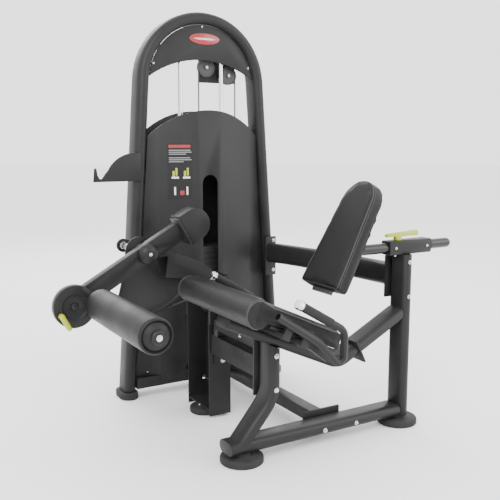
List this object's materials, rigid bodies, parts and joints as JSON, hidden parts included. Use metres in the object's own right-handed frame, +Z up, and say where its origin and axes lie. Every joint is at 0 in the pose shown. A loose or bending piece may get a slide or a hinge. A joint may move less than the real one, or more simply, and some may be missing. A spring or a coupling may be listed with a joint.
{
  "type": "leg extension machine",
  "caption": "Seated leg extension machine with a padded seat, a sliding backrest, a counterweighted leg arm and a cable-driven weight tower.",
  "frame": {"origin": "centre of the front foot's underside, on the floor in the seat's centre plane", "axes": "+Z up, -X the way the user faces, +Y from the seat towards the weight tower"},
  "size_m": [1.4588, 1.1495, 1.598],
  "materials": {
    "charcoal_paint": "satin",
    "black_paint": "satin",
    "plate_paint": "satin",
    "black_vinyl": "satin",
    "black_rubber": "matte",
    "chrome": "polished",
    "steel": "brushed",
    "lime_plastic": "gloss",
    "black_nylon": "matte"
  },
  "bodies": {
    "frame": {"base_cross_tube": "charcoal_paint", "base_tube": "charcoal_paint", "bumper_left": "black_rubber", "bumper_right": "black_rubber", "front_foot": "black_rubber", "front_shroud": "charcoal_paint", "grip_cap_left": "chrome", "grip_cap_right": "chrome", "grip_left": "black_rubber", "grip_right": "black_rubber", "guide_rod_left": "chrome", "guide_rod_right": "chrome", "handle_left": "black_paint", "handle_right": "black_paint", "header_cover": "charcoal_paint", "header_crossbar": "charcoal_paint", "lift_cable": "black_nylon", "pivot_housing": "charcoal_paint", "post_foot": "black_rubber", "post_link": "charcoal_paint", "pulley_post": "charcoal_paint", "rear_foot": "black_rubber", "rear_post": "charcoal_paint", "rear_shroud": "charcoal_paint", "resting_plates": "plate_paint", "seat_beam": "charcoal_paint", "seat_pad": "black_vinyl", "seat_pan": "black_paint", "seat_strut": "charcoal_paint", "slide_sleeve": "charcoal_paint", "towel_holder": "charcoal_paint", "tower_arch": "charcoal_paint", "tower_bottom_bar": "charcoal_paint", "tower_foot_left": "black_rubber", "tower_foot_right": "black_rubber", "upper_link_tube": "charcoal_paint"},
    "weight_stack": {"lifted_plates": "plate_paint", "head_plate": "plate_paint", "selector_stem": "steel"},
    "selector_pin": {"selector_pin": "chrome"},
    "leg_arm": {"leg_arm": "black_paint", "counterweight": "plate_paint", "hub_cap": "black_paint", "pivot_shaft": "steel", "leg_cam": "charcoal_paint"},
    "adjuster": {"adjuster_disc": "black_paint", "roller_shaft": "chrome"},
    "shin_roller": {"shin_roller": "black_vinyl"},
    "lock_pin": {"lock_pin": "lime_plastic"},
    "backrest": {"backrest_pad": "black_vinyl", "backrest_bracket": "black_paint", "slide_tube": "chrome"},
    "clamp_lever": {"clamp_lever": "lime_plastic"},
    "post_pulley": {"post_pulley": "black_nylon"},
    "low_pulley": {"low_pulley": "black_nylon"},
    "turn_pulley": {"turn_pulley": "black_nylon"},
    "riser_pulley": {"riser_pulley": "black_nylon"},
    "top_pulley_left": {"top_pulley_left": "black_nylon"},
    "top_pulley_right": {"top_pulley_right": "black_nylon"}
  },
  "joints": [
    {"name": "stack_lift", "type": "slide", "parent": "frame", "child": "weight_stack", "axis": [0, 0, 1], "range_m": [0, 0.3]},
    {"name": "leg_arm_swing", "type": "hinge", "parent": "frame", "child": "leg_arm", "pos_m": [-0.185, 0.355, 0.68], "axis": [0, 1, 0], "range_deg": [0, 71]},
    {"name": "selector_pin_pull", "type": "slide", "parent": "weight_stack", "child": "selector_pin", "axis": [0, -1, 0], "range_m": [0, 0.085]},
    {"name": "roller_adjust", "type": "hinge", "parent": "leg_arm", "child": "adjuster", "pos_m": [-0.45829, 0.3247, 0.52538], "axis": [0, 1, 0], "range_deg": [-45, 45]},
    {"name": "roller_spin", "type": "hinge", "parent": "adjuster", "child": "shin_roller", "pos_m": [-0.38829, 0.03, 0.53538], "axis": [0, 1, 0], "continuous": true},
    {"name": "lock_pin_pull", "type": "slide", "parent": "adjuster", "child": "lock_pin", "axis": [0, -1, 0], "range_m": [0, 0.014], "stiffness_N_per_m": 600, "springref_m": -0.005},
    {"name": "backrest_slide", "type": "slide", "parent": "frame", "child": "backrest", "axis": [1, 0, 0], "range_m": [-0.1, 0.1]},
    {"name": "clamp_lever_turn", "type": "hinge", "parent": "frame", "child": "clamp_lever", "pos_m": [0.668, 0, 0.7093], "axis": [0, 0, 1], "range_deg": [0, 75]},
    {"name": "post_pulley_turn", "type": "hinge", "parent": "frame", "child": "post_pulley", "pos_m": [0.108, 0.42, 0.462], "axis": [0, -1, 0], "continuous": true},
    {"name": "low_pulley_turn", "type": "hinge", "parent": "frame", "child": "low_pulley", "pos_m": [0.15, 0.462, 0.15], "axis": [-1, 0, 0], "continuous": true},
    {"name": "turn_pulley_turn", "type": "hinge", "parent": "frame", "child": "turn_pulley", "pos_m": [0.18, 0.775, 0.108], "axis": [0, 0, 1], "continuous": true},
    {"name": "riser_pulley_turn", "type": "hinge", "parent": "frame", "child": "riser_pulley", "pos_m": [0.405, 0.805, 0.134], "axis": [0, 1, 0], "continuous": true},
    {"name": "top_pulley_right_turn", "type": "hinge", "parent": "frame", "child": "top_pulley_right", "pos_m": [0.396, 0.805, 1.35], "axis": [0, 1, 0], "continuous": true},
    {"name": "top_pulley_left_turn", "type": "hinge", "parent": "frame", "child": "top_pulley_left", "pos_m": [0.29, 0.805, 1.38], "axis": [0, 1, 0], "continuous": true}
  ],
  "couplings": [
    {"joint": "leg_arm_swing", "follows": "stack_lift", "rad_per_m": 4.1152},
    {"joint": "post_pulley_turn", "follows": "stack_lift", "rad_per_m": 23.81},
    {"joint": "low_pulley_turn", "follows": "stack_lift", "rad_per_m": 23.81},
    {"joint": "turn_pulley_turn", "follows": "stack_lift", "rad_per_m": 33.333},
    {"joint": "riser_pulley_turn", "follows": "stack_lift", "rad_per_m": 38.462},
    {"joint": "top_pulley_right_turn", "follows": "stack_lift", "rad_per_m": 28.571},
    {"joint": "top_pulley_left_turn", "follows": "stack_lift", "rad_per_m": 28.571}
  ]
}
